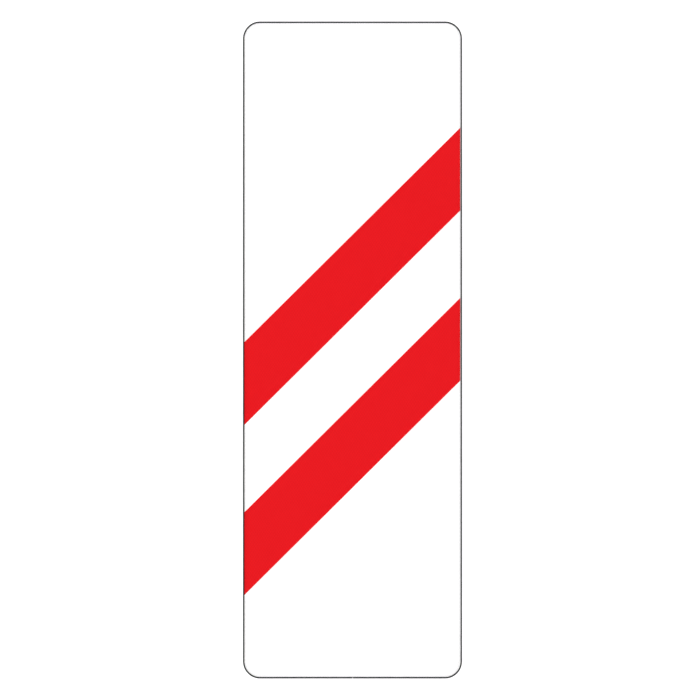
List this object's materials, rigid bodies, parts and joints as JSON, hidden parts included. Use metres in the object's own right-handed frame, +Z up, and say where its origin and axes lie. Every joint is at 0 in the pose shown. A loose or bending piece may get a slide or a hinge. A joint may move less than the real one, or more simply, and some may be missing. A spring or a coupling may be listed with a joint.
{
  "type": "level crossing approach marker panel",
  "caption": "Tall framed reflective marker panel with diagonal stripes and two sliding clamps that hold it on a round post.",
  "frame": {"origin": "on the post's axis, halfway between the two clamps and halfway up the panel", "axes": "+Z up along the post; -Y is the way the striped face looks; +Y backwards; +X to the right as the face is seen"},
  "size_m": [0.35, 0.1088, 1.05],
  "materials": {
    "plate": "rolled aluminium sheet",
    "sheeting": "white prismatic reflective sheeting",
    "red": "transparent red overlay film on the reflective sheeting",
    "label": "matt silver foil label, blank",
    "frame": "black powder coat on extruded aluminium",
    "rail": "mill-finish extruded aluminium",
    "tape": "dark grey acrylic foam tape",
    "rivet": "plain aluminium blind rivet",
    "clamp": "mill-finish extruded aluminium",
    "fastener": "stainless steel",
    "nylon": "white nylon"
  },
  "bodies": {
    "panel": {"sign_plate": "plate", "white_sheeting": "sheeting", "upper_stripe": "red", "lower_stripe": "red", "rear_label": "label", "edge_frame": "frame", "frame_joint_plate": "rail", "frame_joint_rivet_1": "rivet", "frame_joint_rivet_2": "rivet", "frame_joint_rivet_3": "rivet", "frame_joint_rivet_4": "rivet", "upper_rail": "rail", "upper_bond_tape": "tape", "upper_rail_rivet_1": "rivet", "upper_rail_rivet_2": "rivet", "upper_rail_rivet_3": "rivet", "upper_rail_rivet_4": "rivet", "lower_rail": "rail", "lower_bond_tape": "tape", "lower_rail_rivet_1": "rivet", "lower_rail_rivet_2": "rivet", "lower_rail_rivet_3": "rivet", "lower_rail_rivet_4": "rivet"},
    "upper_clamp": {"upper_clamp_saddle": "clamp", "upper_left_tee_bolt": "fastener", "upper_left_tee_washer": "fastener", "upper_left_tee_nut": "fastener", "upper_left_strap_bolt": "fastener", "upper_right_tee_bolt": "fastener", "upper_right_tee_washer": "fastener", "upper_right_tee_nut": "fastener", "upper_right_strap_bolt": "fastener"},
    "upper_strap": {"upper_clamp_strap": "clamp", "upper_left_strap_washer": "fastener", "upper_right_strap_washer": "fastener"},
    "upper_left_nut": {"upper_left_lock_nut": "fastener", "upper_left_nut_insert": "nylon"},
    "upper_right_nut": {"upper_right_lock_nut": "fastener", "upper_right_nut_insert": "nylon"},
    "lower_clamp": {"lower_clamp_saddle": "clamp", "lower_left_tee_bolt": "fastener", "lower_left_tee_washer": "fastener", "lower_left_tee_nut": "fastener", "lower_left_strap_bolt": "fastener", "lower_right_tee_bolt": "fastener", "lower_right_tee_washer": "fastener", "lower_right_tee_nut": "fastener", "lower_right_strap_bolt": "fastener"},
    "lower_strap": {"lower_clamp_strap": "clamp", "lower_left_strap_washer": "fastener", "lower_right_strap_washer": "fastener"},
    "lower_left_nut": {"lower_left_lock_nut": "fastener", "lower_left_nut_insert": "nylon"},
    "lower_right_nut": {"lower_right_lock_nut": "fastener", "lower_right_nut_insert": "nylon"}
  },
  "joints": [
    {"name": "upper_clamp_slide", "type": "slide", "parent": "panel", "child": "upper_clamp", "axis": [1, 0, 0], "range_m": [-0.105, 0.105]},
    {"name": "upper_strap_slide", "type": "slide", "parent": "upper_clamp", "child": "upper_strap", "axis": [0, 1, 0], "range_m": [0, 0.015]},
    {"name": "upper_left_nut_spin", "type": "hinge", "parent": "upper_strap", "child": "upper_left_nut", "pos_m": [-0.05365, 0, 0.3], "axis": [0, 1, 0], "range_deg": [0, 4321]},
    {"name": "upper_right_nut_spin", "type": "hinge", "parent": "upper_strap", "child": "upper_right_nut", "pos_m": [0.05365, 0, 0.3], "axis": [0, 1, 0], "range_deg": [0, 4321]},
    {"name": "lower_clamp_slide", "type": "slide", "parent": "panel", "child": "lower_clamp", "axis": [1, 0, 0], "range_m": [-0.105, 0.105]},
    {"name": "lower_strap_slide", "type": "slide", "parent": "lower_clamp", "child": "lower_strap", "axis": [0, 1, 0], "range_m": [0, 0.015]},
    {"name": "lower_left_nut_spin", "type": "hinge", "parent": "lower_strap", "child": "lower_left_nut", "pos_m": [-0.05365, 0, -0.3], "axis": [0, 1, 0], "range_deg": [0, 4321]},
    {"name": "lower_right_nut_spin", "type": "hinge", "parent": "lower_strap", "child": "lower_right_nut", "pos_m": [0.05365, 0, -0.3], "axis": [0, 1, 0], "range_deg": [0, 4321]}
  ],
  "couplings": [
    {"joint": "upper_left_nut_spin", "follows": "upper_strap_slide", "rad_per_m": 5026.5},
    {"joint": "upper_right_nut_spin", "follows": "upper_strap_slide", "rad_per_m": 5026.5},
    {"joint": "lower_left_nut_spin", "follows": "lower_strap_slide", "rad_per_m": 5026.5},
    {"joint": "lower_right_nut_spin", "follows": "lower_strap_slide", "rad_per_m": 5026.5}
  ]
}
